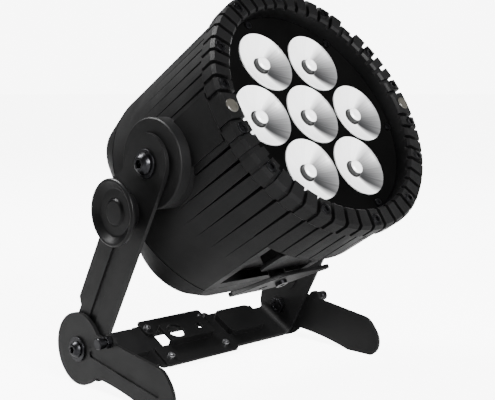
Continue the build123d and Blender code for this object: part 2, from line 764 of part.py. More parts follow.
with BuildPart() as access_cover:
    with BuildSketch(under.offset(-pocket_depth)):
        with Locations((0, (cover_from + cover_to) / 2)):
            RectangleRounded(2 * cover_half_x - 6, cover_to - cover_from - 6, 2)
    extrude(amount=pocket_depth + cover_lift)
    with BuildSketch(under.offset(cover_lift)):
        with Locations((0, (cover_from + cover_to) / 2)):
            RectangleRounded(2 * cover_half_x, cover_to - cover_from, 5)
    extrude(amount=cover_thick)
keep(access_cover, "access_cover")

bar_plane = Plane(origin=under.from_local_coords((0, anchor_station, anchor_top - flat_radius)),
                  x_dir=(1, 0, 0), z_dir=head_up * -1)
bar_half = 35.5
bar_thick = 2.6
bar_swell = 11.5            # half width of the bar at its middle
bar_tip = 2.4
with BuildPart() as anchor_bar:
    with BuildSketch(bar_plane):
        with BuildLine():
            Spline((-bar_half, bar_tip), (-bar_half / 2, bar_swell - 4.0), (0, bar_swell),
                   (bar_half / 2, bar_swell - 4.0), (bar_half, bar_tip),
                   tangents=((1, 0.1), (1, -0.1)))
            ThreePointArc((bar_half, bar_tip), (bar_half + bar_tip, 0), (bar_half, -bar_tip))
            Spline((bar_half, -bar_tip), (bar_half / 2, -bar_swell + 5.0), (0, -bar_swell + 1.5),
                   (-bar_half / 2, -bar_swell + 5.0), (-bar_half, -bar_tip),
                   tangents=((-1, -0.1), (-1, 0.1)))
            ThreePointArc((-bar_half, -bar_tip), (-bar_half - bar_tip, 0), (-bar_half, bar_tip))
        make_face()
        with Locations((-12.5, -1.5)):
            SlotOverall(6, 2.4, mode=Mode.SUBTRACT)
        Circle(2.2, mode=Mode.SUBTRACT)
    extrude(amount=bar_thick)
turned_bar = anchor_bar.part.rotate(Axis(bar_plane.origin, head_up * -1), anchor_turn)
with BuildPart() as anchor_bar_placed:
    add(turned_bar)
keep(anchor_bar_placed, "anchor_bar")

with BuildPart() as anchor_screw:
    disc(bar_plane.offset(-5.5), 2.0, 5.5 + bar_thick)
    disc(bar_plane.offset(bar_thick), 4.0, 2.2)
    with BuildSketch(bar_plane.offset(bar_thick + 2.2)):
        RegularPolygon(2.2, 6)
    extrude(amount=-1.5, mode=Mode.SUBTRACT)
keep(anchor_screw, "anchor_screw")

# ---------------------------------------------------------------- rear cover
cover_front = housing_rear - body_gap
screw_x = 46.0
screw_y = 46.0
display_x = 52.0
display_y = 24.0
socket_places = [(-socket_pitch, socket_drop), (0, socket_drop), (socket_pitch, socket_drop)]
button_places = [(button_pitch * (step - 1.5), button_row) for step in range(4)]

with BuildPart() as cap_cavity:
    with BuildSketch(head.offset(cover_front + 1)):
        RectangleRounded(2 * body_radius - 7, 2 * body_radius - 7, body_radius - 4.5)
    with BuildSketch(head.offset(panel_inner)):
        RectangleRounded(2 * panel_half_x - 9, 2 * panel_half_y - 9, panel_corner - 4)
    loft()
    with BuildSketch(head.offset(panel_inner)):
        with Locations((0, (body_radius - flat_radius + cover_wall) / 2)):
            Rectangle(2 * body_radius, body_radius + flat_radius - cover_wall)
    extrude(amount=cover_front + 1 - panel_inner, mode=Mode.INTERSECT)

with BuildPart() as rear_cover:
    with BuildSketch(head.offset(cover_front)):
        RectangleRounded(2 * body_radius - 0.6, 2 * body_radius - 0.6, body_radius - 1.3)
    with BuildSketch(head.offset(cover_rear)):
        RectangleRounded(2 * panel_half_x, 2 * panel_half_y, panel_corner)
    loft()
    with BuildSketch(head.offset(cover_front + 1)):
        with Locations((0, -(flat_radius + body_radius + 3) / 2)):
            Rectangle(2 * body_radius, body_radius + 3 - flat_radius)
    extrude(amount=cover_rear - cover_front - 2, mode=Mode.SUBTRACT)
    rear_face = rear_cover.faces().sort_by(Axis(pivot, light_dir))[0]
    chamfer(rear_face.edges(), 2.4)
    add(cap_cavity.part, mode=Mode.SUBTRACT)
    with BuildSketch(head.offset(panel_inner + 1)):
        with Locations(*socket_places):
            Circle(socket_radius + 0.2)
        with Locations(*button_places):
            Circle(button_radius + running_gap * 4)
        with Locations((0, display_row)):
            Rectangle(display_x - 6, display_y - 6)
    extrude(amount=-cover_wall - 3, mode=Mode.SUBTRACT)
    with BuildSketch(head.offset(cover_rear)):
        with Locations((0, display_row)):
            RectangleRounded(display_x, display_y, 3)
    extrude(amount=1.4, mode=Mode.SUBTRACT)
    with BuildSketch(head.offset(panel_inner)):
        with GridLocations(2 * screw_x, 2 * screw_y, 2, 2):
            Circle(5.0)
    extrude(amount=cover_front - panel_inner)
    with BuildSketch(head.offset(cover_rear - 1)):
        with GridLocations(2 * screw_x, 2 * screw_y, 2, 2):
            Circle(1.6)
    extrude(amount=cover_front - cover_rear + 2, mode=Mode.SUBTRACT)
keep(rear_cover, "rear_cover")

with BuildPart() as rear_screws:
    with BuildSketch(head.offset(cover_rear)):
        with GridLocations(2 * screw_x, 2 * screw_y, 2, 2):
            Circle(1.5)
    extrude(amount=cover_front - cover_rear - 0.5)
    with BuildSketch(head.offset(cover_rear)):
        with GridLocations(2 * screw_x, 2 * screw_y, 2, 2):
            Circle(3.0)
    extrude(amount=-1.9)
    with BuildSketch(head.offset(cover_rear - 1.9)):
        with GridLocations(2 * screw_x, 2 * screw_y, 2, 2):
            RegularPolygon(1.4, 6)
    extrude(amount=1.2, mode=Mode.SUBTRACT)
keep(rear_screws, "rear_cover_screws")

with BuildPart() as display_window:
    with BuildSketch(head.offset(cover_rear + 1.4)):
        with Locations((0, display_row)):
            RectangleRounded(display_x - 0.3, display_y - 0.3, 2.85)
    extrude(amount=-1.6)
keep(display_window, "display_window")

for number, place in enumerate(button_places):
    with BuildPart() as button:
        with BuildSketch(head.offset(cover_rear - 1.6)):
            with Locations(place):
                Circle(button_radius)
        extrude(amount=6.5)
        outer = button.faces().sort_by(Axis(pivot, light_dir))[0]
        fillet(outer.edges(), 0.7)
        with BuildSketch(head.offset(panel_inner + body_gap)):
            with Locations(place):
                Circle(button_radius + 1.3)
        extrude(amount=1.4)
    keep(button, "button_" + str(number + 1))

for place, name in zip(socket_places, ("power_inlet", "data_in_socket", "data_out_socket")):
    with BuildPart() as socket:
        with BuildSketch(head.offset(cover_rear)):
            with Locations(place):
                RectangleRounded(2 * socket_flange, 2 * socket_flange, 3)
        extrude(amount=-2.6)
        with BuildSketch(head.offset(cover_rear)):
            with Locations(place):
                Circle(socket_radius)
        extrude(amount=18)
        with BuildSketch(head.offset(cover_rear - 3)):
            with Locations(place):
                Circle(socket_radius - 1.6)
        extrude(amount=15, mode=Mode.SUBTRACT)
        pins = 3 if name == "power_inlet" else 5
        with BuildSketch(head.offset(cover_rear + 12.5)):
            with Locations(place):
                with PolarLocations(4.4, pins, 90):
                    Circle(1.3)
        extrude(amount=-10.5)
    keep(socket, name)

# ---------------------------------------------------------------- inside the housing
battery_x = 90.0
battery_y = 78.0
battery_length = 34.0
post_x = 49.0
post_y = 32.0
board_station = -20.0

with BuildPart() as battery_pack:
    with BuildSketch(head.offset(shelf_front)):
        RectangleRounded(battery_x, battery_y, 6)
    extrude(amount=-battery_length)
keep(battery_pack, "battery_pack")

with BuildPart() as board_posts:
    with BuildSketch(head.offset(shelf_front)):
        with GridLocations(2 * post_x, 2 * post_y, 2, 2):
            Circle(2.6)
    extrude(amount=board_station - shelf_front)
keep(board_posts, "board_posts")

with BuildPart() as driver_board:
    with BuildSketch(head.offset(board_station)):
        Rectangle(2 * post_x + 10, 2 * post_y + 10)
    extrude(amount=-1.6)
    with BuildSketch(head.offset(board_station - 1.6)):
        with Locations((-30, 10), (-8, 18)):
            Circle(7)
        with Locations((24, 6)):
            Rectangle(26, 30)
        with Locations((0, -20)):
            Rectangle(60, 10)
    extrude(amount=-12)
keep(driver_board, "driver_board")
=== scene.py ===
# %% [markdown]
# # Par can light
#
# A small stage wash light: a finned cast housing with seven silvery optics,
# a toothed front ring, and a U yoke on two folding feet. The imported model
# gives every piece its size and place, so this file only adds finish: rounded
# edges, optics, screws, and the coatings that make black metal look like metal.

import json
from math import atan2, cos, pi, radians, sin

import bmesh
import bpy
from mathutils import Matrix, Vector


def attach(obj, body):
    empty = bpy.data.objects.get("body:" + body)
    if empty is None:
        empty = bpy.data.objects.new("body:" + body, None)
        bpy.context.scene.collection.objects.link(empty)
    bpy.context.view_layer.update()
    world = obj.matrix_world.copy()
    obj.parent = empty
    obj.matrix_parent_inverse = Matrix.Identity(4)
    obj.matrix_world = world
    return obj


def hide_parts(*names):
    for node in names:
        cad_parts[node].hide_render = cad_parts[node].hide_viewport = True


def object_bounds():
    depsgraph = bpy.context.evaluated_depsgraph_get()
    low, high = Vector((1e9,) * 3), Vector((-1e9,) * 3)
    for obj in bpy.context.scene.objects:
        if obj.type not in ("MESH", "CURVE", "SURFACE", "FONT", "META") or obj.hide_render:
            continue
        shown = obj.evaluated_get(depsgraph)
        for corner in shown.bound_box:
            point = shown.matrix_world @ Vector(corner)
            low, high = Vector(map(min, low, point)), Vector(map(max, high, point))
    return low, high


mm = 0.001                      # every length in this file is in metres

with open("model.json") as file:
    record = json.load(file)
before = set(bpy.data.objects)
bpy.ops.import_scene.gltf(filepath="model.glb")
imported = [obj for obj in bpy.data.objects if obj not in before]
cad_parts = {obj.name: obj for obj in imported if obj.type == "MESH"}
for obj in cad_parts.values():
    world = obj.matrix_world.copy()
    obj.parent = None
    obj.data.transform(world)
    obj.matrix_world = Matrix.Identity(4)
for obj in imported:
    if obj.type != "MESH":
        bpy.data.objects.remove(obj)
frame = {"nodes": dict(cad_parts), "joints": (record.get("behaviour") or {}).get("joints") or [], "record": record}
nodes = frame["nodes"]
record = frame["record"]
cad_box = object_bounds()
print("nodes", len(nodes), "box", [tuple(round(v, 4) for v in c) for c in cad_box])

# %% [markdown]
# The head is tilted, so its pieces are easiest to think about in the head's own
# directions: across (the tilt axis, which is the frame's X), up, and out along
# the light. The tilt hinge gives the pivot, and a rear key travels along the
# light axis. The axis of the clamp hole, turned round, is the way that the
# screws of the clamp plate face.

# %% Directions of the head and of the yoke
joints = {joint["name"]: joint for joint in frame["joints"]}
pivot = Vector(joints["head_tilt"]["pos_m"])
across = Vector((1, 0, 0))
out = Vector(joints["button_press_1"]["axis"]).normalized()
up = out.cross(across).normalized()
if up.z < 0:
    up = -up
clamp_hole = {mount["name"]: mount for mount in record["mounts"]}["clamp_hole"]
arm_up = -Vector(clamp_hole["axis"]).normalized()
body_of_node = {n: body for body, members in record["behaviour"]["bodies"].items() for n in members}
slot_of_node = {row["node"]: row["material_slot"] for row in record["subparts"]}
print("light axis", tuple(round(v, 3) for v in out), "head up", tuple(round(v, 3) for v in up))


def along(point, direction):
    """How far a point lies from the pivot along a direction."""
    return (Vector(point) - pivot).dot(direction)


def span(node, direction):
    """Lowest and highest place of a node along a direction."""
    places = [along(v.co, direction) for v in nodes[node].data.vertices]
    return min(places), max(places)


def middle(values):
    """Half way between the lowest and the highest."""
    return (min(values) + max(values)) / 2


def head_point(x, y, z):
    """A point given across, up and out from the pivot."""
    return pivot + across * x + up * y + out * z


print("lens face at", round(span("lens_1", out)[1], 4), "lens across", span("lens_1", across))

# %% [markdown]
# Every material is built from the same few nodes, so a small kit keeps the cells
# short. A finish is a base colour that drifts slowly over the piece, a
# roughness that drifts with it, and a bump for the skin. The Bevel node finds
# edges: where its rounded normal differs from the true one, the coat is thin
# and a little brighter, partly from use and partly as a painted highlight.

# %% A kit for finishes
def new_material(name):
    """An empty node material and its shader."""
    material = bpy.data.materials.new(name)
    material.use_nodes = True
    return material, material.node_tree, material.node_tree.nodes["Principled BSDF"]


def noise(tree, scale, detail=4.0, stretch=(1, 1, 1), rough=0.5):
    """Noise on the piece's own coordinates; scale is in cycles a metre."""
    place = tree.nodes.new("ShaderNodeTexCoord")
    mapping = tree.nodes.new("ShaderNodeMapping")
    mapping.inputs["Scale"].default_value = stretch
    texture = tree.nodes.new("ShaderNodeTexNoise")
    texture.inputs["Scale"].default_value = scale
    texture.inputs["Detail"].default_value = detail
    texture.inputs["Roughness"].default_value = rough
    tree.links.new(place.outputs["Object"], mapping.inputs["Vector"])
    tree.links.new(mapping.outputs["Vector"], texture.inputs["Vector"])
    return texture.outputs["Fac"]


def spread(tree, value, low, high, start=0.3, end=0.7):
    """Value stretched from start..end to low..high, and held outside it."""
    stretch = tree.nodes.new("ShaderNodeMapRange")
    stretch.inputs["From Min"].default_value = start
    stretch.inputs["From Max"].default_value = end
    stretch.inputs["To Min"].default_value = low
    stretch.inputs["To Max"].default_value = high
    tree.links.new(value, stretch.inputs["Value"])
    return stretch.outputs["Result"]


def chain(tree, operation, *values):
    """One Math node; each value is a number or a socket."""
    node = tree.nodes.new("ShaderNodeMath")
    node.operation = operation
    for socket, value in zip(node.inputs, values):
        if hasattr(value, "links"):
            tree.links.new(value, socket)
        else:
            socket.default_value = value
    return node.outputs["Value"]


def mix(tree, factor, first, second):
    """Colour mixed by a factor; each colour is a value or a socket."""
    node = tree.nodes.new("ShaderNodeMix")
    node.data_type = "RGBA"
    tree.links.new(factor, node.inputs["Factor"])
    for socket, colour in ((node.inputs["A"], first), (node.inputs["B"], second)):
        if hasattr(colour, "links"):
            tree.links.new(colour, socket)
        else:
            socket.default_value = (*colour, 1)
    return node.outputs["Result"]


def bump(tree, height, depth):
    """Bump of that depth in metres, at full strength."""
    node = tree.nodes.new("ShaderNodeBump")
    node.inputs["Strength"].default_value = 1.0
    node.inputs["Distance"].default_value = depth
    tree.links.new(height, node.inputs["Height"])
    return node.outputs["Normal"]


def edges(tree, radius):
    """Near 1 on edges, where the coat is thin from use and a highlight is painted, and 0 elsewhere."""
    softened = tree.nodes.new("ShaderNodeBevel")
    softened.samples = 6
    softened.inputs["Radius"].default_value = radius
    geometry = tree.nodes.new("ShaderNodeNewGeometry")
    dot = tree.nodes.new("ShaderNodeVectorMath")
    dot.operation = "DOT_PRODUCT"
    tree.links.new(softened.outputs["Normal"], dot.inputs[0])
    tree.links.new(geometry.outputs["Normal"], dot.inputs[1])
    return spread(tree, dot.outputs["Value"], 1.0, 0.0, 0.80, 0.985)


# %% [markdown]
# Powder coat is plastic powder melted on metal. It is satin, it has a fine
# orange peel, and it wears to a greyer sheen on corners; that greyer corner
# colour is partly thinned coat and partly a painted highlight. The casting
# carries a coarser skin than the folded sheet of the yoke, because cast metal
# is rougher before it is coated.

# %% Coatings
# How far in from an edge the lighter colour reaches: coat thinned by use and a painted highlight.
rubbed_and_highlight_band = 0.9 * mm            # how far in from an edge the coat rubs


def coated(name, colour, grain, depth, rough, wear_and_highlight, gloss):
    """Satin coat: grain is in cycles a metre, depth is the grain's height."""
    material, tree, shader = new_material(name)
    drift = noise(tree, 28, 5)
    darker = tuple(0.75 * c for c in colour)
    lighter = tuple(1.3 * c for c in colour)
    worn_and_highlight_colour = tuple(min(1.0, 3.0 * c) for c in colour)
    base = mix(tree, spread(tree, drift, 0, 1), darker, lighter)
    # Painted highlight with edge wear: edges go lighter in patches, in the base colour.
    patches = spread(tree, noise(tree, 160, 3), 0, wear_and_highlight, 0.4, 0.75)
    rubbed_and_highlit = chain(tree, "MULTIPLY", edges(tree, rubbed_and_highlight_band), patches)
    tree.links.new(mix(tree, rubbed_and_highlit, base, worn_and_highlight_colour), shader.inputs["Base Color"])
    roughness = spread(tree, noise(tree, 60, 6), rough - 0.05, rough + 0.07)
    tree.links.new(roughness, shader.inputs["Roughness"])
    tree.links.new(bump(tree, noise(tree, grain, 3, rough=0.6), depth), shader.inputs["Normal"])
    shader.inputs["Specular IOR Level"].default_value = gloss
    return material


coats = {
    # slot: material, colour, grain, depth, roughness, edge lightening from use and painted highlight, gloss
    "black_cast": ("cast_powder_coat", (0.0028, 0.0028, 0.0029), 1500, 0.09 * mm, 0.46, 0.7, 0.11),
    "front_black": ("matt_front_paint", (0.0016, 0.0016, 0.0016), 2000, 0.05 * mm, 0.70, 0.3, 0.0),
    "black_bracket": ("sheet_powder_coat", (0.0032, 0.0032, 0.0033), 2400, 0.04 * mm, 0.42, 0.8, 0.13),
    "knob": ("moulded_knob", (0.0018, 0.0018, 0.0019), 3200, 0.03 * mm, 0.36, 0.3, 0.11),
    "socket": ("moulded_connector", (0.0055, 0.0055, 0.0058), 3000, 0.02 * mm, 0.40, 0.2, 0.35),
    "nylon": ("nylon_washer", (0.010, 0.010, 0.010), 3600, 0.02 * mm, 0.50, 0.1, 0.35),
    "seal": ("silicone_seal", (0.008, 0.008, 0.008), 2600, 0.03 * mm, 0.62, 0.1, 0.35),
    "button": ("rubber_key", (0.012, 0.012, 0.013), 2600, 0.04 * mm, 0.60, 0.4, 0.35),
}
finishes = {slot: coated(*coat) for slot, coat in coats.items()}
boss_finish = coated("matt_boss_paint", (0.0026, 0.0026, 0.0027), 1800, 0.06 * mm, 0.50, 0.4, 0.13)
own_finish = {"side_boss_left": boss_finish, "side_boss_right": boss_finish}
print("coatings", len(finishes))

# %% [markdown]
# The screws are steel: black oxide on the large ones, dark zinc on the small
# ones. Turned heads keep faint rings from the tool, but at this size a fine
# streaked noise with a sharp, uneven gloss says the same.

# %% Metals
streak_depth = 0.02 * mm


def metal(name, colour, rough, streak):
    """Metal with fine streaks; streak is in cycles a metre."""
    material, tree, shader = new_material(name)
    grain = noise(tree, streak, 5, stretch=(1, 0.15, 1))
    darker = tuple(0.72 * c for c in colour)
    lighter = tuple(1.15 * c for c in colour)
    tree.links.new(mix(tree, spread(tree, grain, 0, 1), darker, lighter), shader.inputs["Base Color"])
    roughness = spread(tree, noise(tree, 300, 4), rough - 0.08, rough + 0.1)
    tree.links.new(roughness, shader.inputs["Roughness"])
    tree.links.new(bump(tree, grain, streak_depth), shader.inputs["Normal"])
    shader.inputs["Metallic"].default_value = 1.0
    return material


finishes["black_screw"] = metal("black_oxide_steel", (0.022, 0.022, 0.024), 0.34, 900)
finishes["zinc_screw"] = metal("dark_zinc_steel", (0.30, 0.30, 0.31), 0.32, 900)
finishes["bare_aluminium"] = metal("milled_aluminium", (0.66, 0.66, 0.68), 0.36, 700)
print("metals ready")

# %% [markdown]
# The board, the emitters, the display and the battery sit inside or behind
# windows. They still get a finish each, since the part can be opened.

# %% Electronics and windows
def patterned(name, first, second, scale, rough, coat):
    """Two colours in a fine cell pattern, for boards and wrapped cells."""
    material, tree, shader = new_material(name)
    place = tree.nodes.new("ShaderNodeTexCoord")
    cells = tree.nodes.new("ShaderNodeTexVoronoi")
    cells.inputs["Scale"].default_value = scale
    tree.links.new(place.outputs["Object"], cells.inputs["Vector"])
    centres = spread(tree, cells.outputs["Distance"], 0, 1, 0.1, 0.5)
    tree.links.new(mix(tree, centres, first, second), shader.inputs["Base Color"])
    roughness = spread(tree, noise(tree, 200, 4), rough - 0.05, rough + 0.08)
    tree.links.new(roughness, shader.inputs["Roughness"])
    tree.links.new(bump(tree, noise(tree, 900, 3), 0.03 * mm), shader.inputs["Normal"])
    shader.inputs["Coat Weight"].default_value = coat
    return material


finishes["board"] = patterned("circuit_board", (0.012, 0.075, 0.030), (0.020, 0.11, 0.045), 420, 0.35, 0.4)
finishes["led"] = patterned("emitter_phosphor", (0.86, 0.78, 0.30), (0.95, 0.92, 0.62), 700, 0.30, 0.5)
finishes["battery"] = patterned("battery_wrap", (0.03, 0.06, 0.16), (0.05, 0.09, 0.22), 90, 0.30, 0.3)
finishes["display"] = patterned("display_glass", (0.006, 0.007, 0.010), (0.010, 0.012, 0.016), 60, 0.10, 0.8)
finishes["window"] = patterned("sensor_glass", (0.020, 0.019, 0.015), (0.034, 0.032, 0.027), 240, 0.30, 0.2)
print("finishes", sorted(finishes))

# %% [markdown]
# CAD meshes are exact but hard: every edge is a knife edge. Real coated metal
# has small rounds. Each node whose edges show is copied, its doubles are merged,
# its flat facets are joined into whole faces, and a Bevel modifier rounds only
# the edges that turn sharply. Weighted normals then keep the flats flat.

# %% Rounded copies of CAD pieces
def merged(node):
    """A node's mesh opened for editing, with its doubled corners merged."""
    work = bmesh.new()
    work.from_mesh(nodes[node].data)
    bmesh.ops.remove_doubles(work, verts=work.verts, dist=0.002 * mm)
    return work


def merged_copy(node):
    """Copy of a node's mesh with shared corners and whole flat faces."""
    work = merged(node)
    mesh = nodes[node].data.copy()
    bmesh.ops.dissolve_limit(work, angle_limit=radians(0.4), verts=work.verts, edges=work.edges)
    work.to_mesh(mesh)
    work.free()
    return mesh


def applied(piece):
    """The piece with its modifiers turned into plain mesh."""
    bpy.context.view_layer.update()
    depsgraph = bpy.context.evaluated_depsgraph_get()
    mesh = bpy.data.meshes.new_from_object(piece.evaluated_get(depsgraph), depsgraph=depsgraph)
    piece.modifiers.clear()
    piece.data = mesh
    return piece


def add_piece(name, mesh):
    """A new object at the origin that holds the mesh."""
    piece = bpy.data.objects.new(name, mesh)
    bpy.context.scene.collection.objects.link(piece)
    return piece


def dress(piece, node_names):
    """The piece stands for CAD nodes: it moves with their body, and they are hidden."""
    first = node_names[0]
    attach(piece, body_of_node[first])
    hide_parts(*node_names)
    return piece


def paint(mesh, finish):
    """One finish on every face."""
    mesh.materials.clear()
    mesh.materials.append(finish)
    for face in mesh.polygons:
        face.material_index = 0


def rounded(node, width):
    """Copy of a node with its sharp edges rounded."""
    piece = add_piece(node + "_finished", merged_copy(node))
    bevel = piece.modifiers.new("round", "BEVEL")
    bevel.width = width
    bevel.segments = 2
    bevel.limit_method = "ANGLE"
    bevel.angle_limit = radians(32)
    bevel.use_clamp_overlap = True
    applied(piece)
    piece.data.set_sharp_from_angle(angle=radians(40))
    weighted = piece.modifiers.new("flats", "WEIGHTED_NORMAL")
    weighted.keep_sharp = True
    weighted.weight = 80
    applied(piece)
    paint(piece.data, own_finish.get(node, finishes[slot_of_node[node]]))
    return dress(piece, [node])


# %% Which pieces are rounded, and by how much, in millimetres
edge_widths = {
    "yoke_bracket": 0.4, "clamp_plate": 0.4, "foot_left": 0.5, "foot_right": 0.5,
    "housing": 0.3, "bezel_ring": 0.3, "rear_cover": 0.4, "lens_plate": 0.3,
    "side_boss_left": 0.3, "side_boss_right": 0.3,
    "access_cover": 0.4, "anchor_bar": 0.4, "anchor_screw": 0.2,
    "lock_knob_left": 0.3, "lock_knob_right": 0.3,
    "pivot_bolt_left": 0.3, "pivot_bolt_right": 0.3, "pivot_washers": 0.2,
    "foot_bolts": 0.3, "foot_nuts": 0.2, "foot_washers": 0.2,
    "foot_plunger_left": 0.1, "foot_plunger_right": 0.1,
    "plunger_sleeve_left": 0.2, "plunger_sleeve_right": 0.2,
    "power_inlet": 0.3, "data_in_socket": 0.3, "data_out_socket": 0.3,
    "display_window": 0.2, "button_1": 0.2, "button_2": 0.2,
    "button_3": 0.2, "button_4": 0.2,
}
for node, width in edge_widths.items():
    piece = rounded(node, width * mm)
    print(node, len(piece.data.polygons), "faces")

# %% [markdown]
# Six optics stand in a hexagon round a seventh. One optic is turned from an
# outline, with a thin rim, a shallow dish and a post in the middle, and a
# Geometry Nodes tree sets it at each place. The places come from the CAD lenses,
# so the tree only needs points, the optic, and the turn that faces the light axis.

# %% A tree that sets one master at every point
def spreading_tree():
    """Geometry Nodes: an object set at each point, turned and given a finish."""
    tree = bpy.data.node_groups.new("set_at_points", "GeometryNodeTree")
    face = tree.interface
    face.new_socket("Geometry", in_out="INPUT", socket_type="NodeSocketGeometry")
    face.new_socket("Master", in_out="INPUT", socket_type="NodeSocketObject")
    face.new_socket("Facing", in_out="INPUT", socket_type="NodeSocketVector")
    face.new_socket("Spin Range", in_out="INPUT", socket_type="NodeSocketFloat")
    face.new_socket("Seed", in_out="INPUT", socket_type="NodeSocketInt")
    face.new_socket("Finish", in_out="INPUT", socket_type="NodeSocketMaterial")
    face.new_socket("Geometry", in_out="OUTPUT", socket_type="NodeSocketGeometry")
    add = tree.nodes.new
    given = add("NodeGroupInput")
    made = add("NodeGroupOutput")
    master = add("GeometryNodeObjectInfo")
    facing = add("FunctionNodeAlignRotationToVector")
    facing.axis = "Z"
    spin = add("FunctionNodeRandomValue")
    spin.data_type = "FLOAT"
    low = add("ShaderNodeMath")
    low.operation = "MULTIPLY"
    low.inputs[1].default_value = -1.0
    pack = add("ShaderNodeCombineXYZ")
    turn = add("FunctionNodeEulerToRotation")
    both = add("FunctionNodeRotateRotation")
    both.rotation_space = "LOCAL"
    place = add("GeometryNodeInstanceOnPoints")
    real = add("GeometryNodeRealizeInstances")
    finish = add("GeometryNodeSetMaterial")
    link = tree.links.new
    link(given.outputs["Master"], master.inputs["Object"])
    link(given.outputs["Facing"], facing.inputs["Vector"])
    link(given.outputs["Spin Range"], low.inputs[0])
    floats = [s for s in spin.inputs if s.type == "VALUE"]
    link(low.outputs["Value"], floats[0])
    link(given.outputs["Spin Range"], floats[1])
    link(given.outputs["Seed"], spin.inputs["Seed"])
    link([s for s in spin.outputs if s.type == "VALUE"][0], pack.inputs["Z"])
    link(pack.outputs["Vector"], turn.inputs["Euler"])
    link(facing.outputs["Rotation"], both.inputs["Rotation"])
    link(turn.outputs["Rotation"], both.inputs["Rotate By"])
    link(given.outputs["Geometry"], place.inputs["Points"])
    link(master.outputs["Geometry"], place.inputs["Instance"])
    link(both.outputs["Rotation"], place.inputs["Rotation"])
    link(place.outputs["Instances"], real.inputs["Geometry"])
    link(real.outputs["Geometry"], finish.inputs["Geometry"])
    link(given.outputs["Finish"], finish.inputs["Material"])
    link(finish.outputs["Geometry"], made.inputs["Geometry"])
    return tree


set_at_points = spreading_tree()


def set_pieces(name, points, master, facing, spin_range, seed, node_names):
    """Masters set at points by the tree, as one plain mesh."""
    mesh = bpy.data.meshes.new(name)
    mesh.from_pydata([tuple(p) for p in points], [], [])
    piece = add_piece(name, mesh)
    modifier = piece.modifiers.new("set", "NODES")
    modifier.node_group = set_at_points
    wanted = {
        "Master": master, "Facing": tuple(facing), "Spin Range": spin_range,
        "Seed": seed, "Finish": finishes[slot_of_node[node_names[0]]],
    }
    for item in set_at_points.interface.items_tree:
        if item.item_type == "SOCKET" and item.in_out == "INPUT" and item.name in wanted:
            modifier[item.identifier] = wanted[item.name]
    applied(piece)
    bpy.data.objects.remove(master)
    print(name, len(points), "places,", len(piece.data.polygons), "faces")
    return dress(piece, node_names)


# %% [markdown]
# An optic and a screw are made alike: a ring of corners for each point of an
# outline, and faces from each ring to the next. Only a screw's innermost rings
# follow a hexagon and not a circle, so both can share the same bridging.

# %% Shapes from rings of corners
def bridged(work, first, second, steps):
    """Smooth faces from one ring to the next; a ring of one corner is a tip."""
    faces = []
    for k in range(steps):
        after = (k + 1) % steps
        corners = [first[k % len(first)], second[k % len(second)],
                   second[after % len(second)], first[after % len(first)]]
        face = work.faces.new(list(dict.fromkeys(corners)))
        face.smooth = True
        faces.append(face)
    return faces


def finished_master(name, work, sharp):
    """The shape as an object, with its normals outwards and its sharp edges kept."""
    bmesh.ops.recalc_face_normals(work, faces=work.faces)
    mesh = bpy.data.meshes.new(name)
    work.to_mesh(mesh)
    work.free()
    mesh.set_sharp_from_angle(angle=radians(sharp))
    return add_piece(name, mesh)


# %% One optic, turned from its outline
optic_map = "turned"
v_per_metre = 50                # U is the turn, V the distance from the axis


def turned_master(name, outline, steps):
    """Closed solid of revolution about Z from (radius, height) points."""
    work = bmesh.new()
    rings = []
    for radius, height in outline:
        turns = [2 * pi * k / steps for k in range(steps if radius else 1)]
        rings.append([work.verts.new((radius * cos(a), radius * sin(a), height)) for a in turns])
    layer = work.loops.layers.uv.new(optic_map)
    for first, second in zip(rings, rings[1:]):
        for k, face in enumerate(bridged(work, first, second, steps)):
            for loop in face.loops:
                position = loop.vert.co
                turn = atan2(position.y, position.x) / (2 * pi) % 1.0
                if k == steps - 1 and turn < 0.5:
                    turn += 1.0
                distance = (position.x ** 2 + position.y ** 2) ** 0.5
                loop[layer].uv = (turn, distance * v_per_metre)
    return finished_master(name, work, 38)


def part_way(first, last, share):
    """The value at a share of the way from first to last."""
    return first + (last - first) * share


lens_names = ["lens_" + str(k + 1) for k in range(7)]
lens_low, lens_high = span("lens_1", across)
optic_radius = (lens_high - lens_low) / 2
lens_back, lens_front = span("lens_1", out)
lens_depth = lens_front - lens_back
lens_points = [head_point(middle(span(node, across)), middle(span(node, up)), lens_front)
               for node in lens_names]

# heights are from the rim, which is at zero
post_top = -1.2 * mm
dish_floor = -5.4 * mm
wall_foot = -3.4 * mm
post_radius = 4.6 * mm
dish_from = post_radius + 1.0 * mm
dish_to = optic_radius - 0.35 * mm
ledge = optic_radius - 1.4 * mm
seat_radius = 8.4 * mm
dish_steps, cone_steps = 14, 6
optic_outline = [(0, post_top - 0.25 * mm), (1.6 * mm, post_top - 0.2 * mm), (2.1 * mm, post_top),
                 (3.0 * mm, post_top), (post_radius - 0.7 * mm, post_top - 0.3 * mm),
                 (post_radius, post_top - 1.1 * mm), (post_radius + 0.1 * mm, dish_floor + 0.8 * mm),
                 (post_radius + 0.3 * mm, dish_floor), (dish_from, dish_floor)]
for k in range(1, dish_steps + 1):
    share = k / dish_steps
    optic_outline.append((part_way(dish_from, dish_to, share), dish_floor * (1 - share ** 1.5)))
optic_outline += [(optic_radius - 0.2 * mm, 0), (optic_radius, -0.2 * mm),
                  (optic_radius, wall_foot), (ledge, wall_foot)]
for k in range(1, cone_steps + 1):
    share = k / cone_steps
    height = part_way(wall_foot, -lens_depth, share ** 0.85)
    optic_outline.append((part_way(ledge, seat_radius, share), height))
optic_outline.append((0, -lens_depth))
print("optic radius", round(optic_radius, 4), "depth", round(lens_depth, 4))

